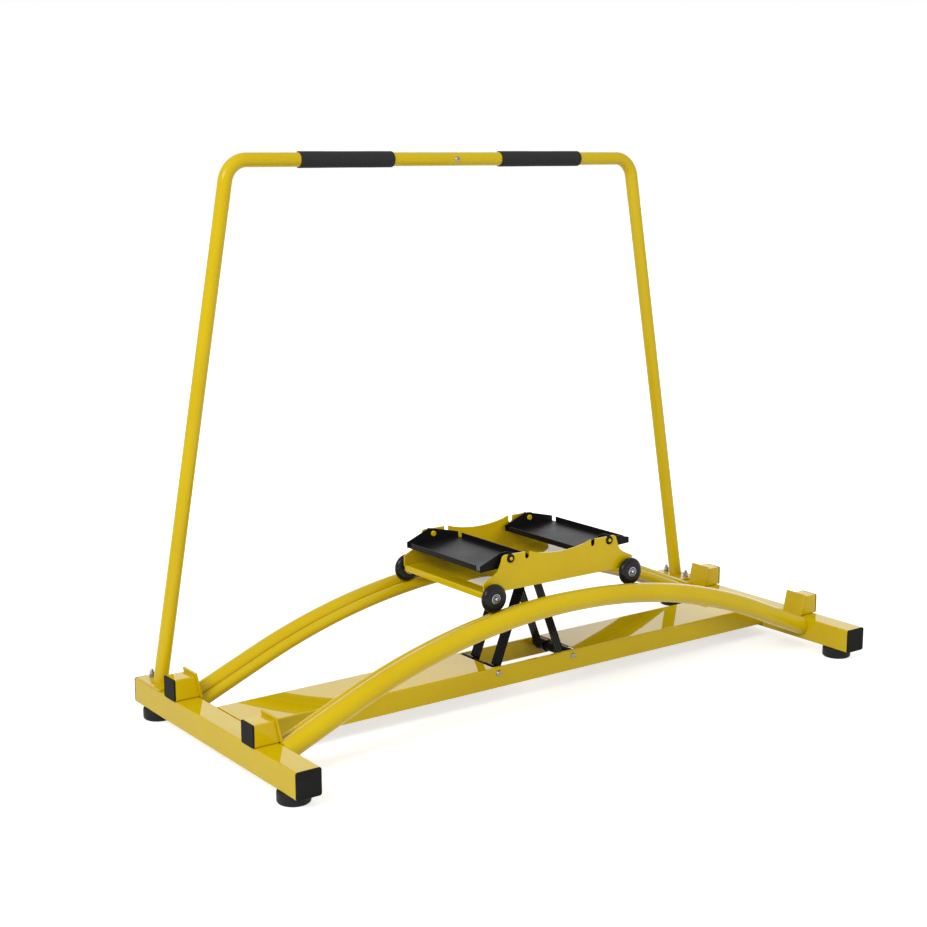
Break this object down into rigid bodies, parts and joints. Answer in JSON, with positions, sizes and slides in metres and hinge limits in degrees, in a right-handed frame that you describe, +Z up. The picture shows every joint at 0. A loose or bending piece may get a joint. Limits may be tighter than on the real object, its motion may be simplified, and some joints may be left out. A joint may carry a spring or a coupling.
{
  "type": "ski simulator",
  "caption": "Home ski trainer: a wheeled carriage with two rocking footplates rolls along an arched track on elastic bands, with a standing handrail behind it.",
  "frame": {"origin": "on the floor under the middle of the machine", "axes": "X runs along the track to the right, Y towards the handrail, Z up"},
  "size_m": [1.809, 0.7854, 1.3714],
  "materials": {
    "yellow_paint": "gloss powder coat",
    "black_paint": "satin powder coat",
    "black_plastic": "matte",
    "rubber": "matte",
    "wheel_rubber": "smooth",
    "band_rubber": "ribbed",
    "foam": "foam",
    "bright_steel": "polished"
  },
  "bodies": {
    "frame": {"crossbar_left": "yellow_paint", "crossbar_cap_left_front": "black_plastic", "foot_left_front": "rubber", "crossbar_cap_left_back": "black_plastic", "foot_left_back": "rubber", "crossbar_right": "yellow_paint", "crossbar_cap_right_front": "black_plastic", "foot_right_front": "rubber", "crossbar_cap_right_back": "black_plastic", "foot_right_back": "rubber", "track_tube_front": "yellow_paint", "running_tube_front": "yellow_paint", "track_tube_back": "yellow_paint", "running_tube_back": "yellow_paint", "stop_left_front": "yellow_paint", "stop_cap_left_front": "black_plastic", "stop_left_back": "yellow_paint", "stop_cap_left_back": "black_plastic", "stop_right_front": "yellow_paint", "stop_cap_right_front": "black_plastic", "stop_right_back": "yellow_paint", "stop_cap_right_back": "black_plastic", "base_channel": "yellow_paint", "roller_bolt_left": "bright_steel", "roller_bolt_right": "bright_steel", "band_left_front": "band_rubber", "band_left_back": "band_rubber", "band_right_front": "band_rubber", "band_right_back": "band_rubber", "base_bolt_left_front": "bright_steel", "base_bolt_left_back": "bright_steel", "base_bolt_right_front": "bright_steel", "base_bolt_right_back": "bright_steel", "handrail_left": "yellow_paint", "grip_left": "foam", "handrail_right": "yellow_paint", "grip_right": "foam"},
    "carriage": {"carriage_deck": "yellow_paint", "side_plate_front": "yellow_paint", "side_plate_back": "yellow_paint", "axle_bolt_left_front": "bright_steel", "axle_bolt_left_back": "bright_steel", "axle_bolt_right_front": "bright_steel", "axle_bolt_right_back": "bright_steel", "pivot_bushing_left_front": "black_plastic", "pivot_bushing_left_back": "black_plastic", "pivot_bushing_right_front": "black_plastic", "pivot_bushing_right_back": "black_plastic"},
    "footplate_left_body": {"footplate_left": "black_paint", "pivot_bolt_left_front": "yellow_paint", "pivot_bolt_left_back": "yellow_paint"},
    "footplate_right_body": {"footplate_right": "black_paint", "pivot_bolt_right_front": "yellow_paint", "pivot_bolt_right_back": "yellow_paint"},
    "wheel_left_front_body": {"wheel_left_front": "wheel_rubber"},
    "wheel_left_back_body": {"wheel_left_back": "wheel_rubber"},
    "wheel_right_front_body": {"wheel_right_front": "wheel_rubber"},
    "wheel_right_back_body": {"wheel_right_back": "wheel_rubber"},
    "band_roller_left_body": {"band_roller_left": "black_plastic"},
    "band_roller_right_body": {"band_roller_right": "black_plastic"}
  },
  "joints": [
    {"name": "carriage_swing", "type": "hinge", "parent": "frame", "child": "carriage", "pos_m": [0, 0, -1.3935], "axis": [0, 1, 0], "range_deg": [-15.5, 15.5], "stiffness_Nm_per_rad": 1500, "deforming": ["band_left_front", "band_left_back", "band_right_front", "band_right_back"]},
    {"name": "footplate_left_rock", "type": "hinge", "parent": "carriage", "child": "footplate_left_body", "pos_m": [-0.159, 0, 0.399], "axis": [0, 1, 0], "range_deg": [-37.5, 42.5]},
    {"name": "footplate_right_rock", "type": "hinge", "parent": "carriage", "child": "footplate_right_body", "pos_m": [0.159, 0, 0.399], "axis": [0, 1, 0], "range_deg": [-37.5, 42.5]},
    {"name": "wheel_left_front_spin", "type": "hinge", "parent": "carriage", "child": "wheel_left_front_body", "pos_m": [-0.22, -0.186, 0.311], "axis": [0, 1, 0], "range_deg": [-725, 725]},
    {"name": "wheel_left_back_spin", "type": "hinge", "parent": "carriage", "child": "wheel_left_back_body", "pos_m": [-0.22, 0.186, 0.311], "axis": [0, 1, 0], "range_deg": [-725, 725]},
    {"name": "wheel_right_front_spin", "type": "hinge", "parent": "carriage", "child": "wheel_right_front_body", "pos_m": [0.22, -0.186, 0.311], "axis": [0, 1, 0], "range_deg": [-725, 725]},
    {"name": "wheel_right_back_spin", "type": "hinge", "parent": "carriage", "child": "wheel_right_back_body", "pos_m": [0.22, 0.186, 0.311], "axis": [0, 1, 0], "range_deg": [-725, 725]},
    {"name": "band_roller_left_turn", "type": "hinge", "parent": "frame", "child": "band_roller_left_body", "pos_m": [-0.123, 0, 0.076], "axis": [0, 1, 0], "continuous": true},
    {"name": "band_roller_right_turn", "type": "hinge", "parent": "frame", "child": "band_roller_right_body", "pos_m": [0.123, 0, 0.076], "axis": [0, 1, 0], "continuous": true}
  ],
  "couplings": [
    {"joint": "wheel_left_front_spin", "follows": "carriage_swing", "ratio": 46.736},
    {"joint": "wheel_left_back_spin", "follows": "carriage_swing", "ratio": 46.736},
    {"joint": "wheel_right_front_spin", "follows": "carriage_swing", "ratio": 46.736},
    {"joint": "wheel_right_back_spin", "follows": "carriage_swing", "ratio": 46.736}
  ]
}
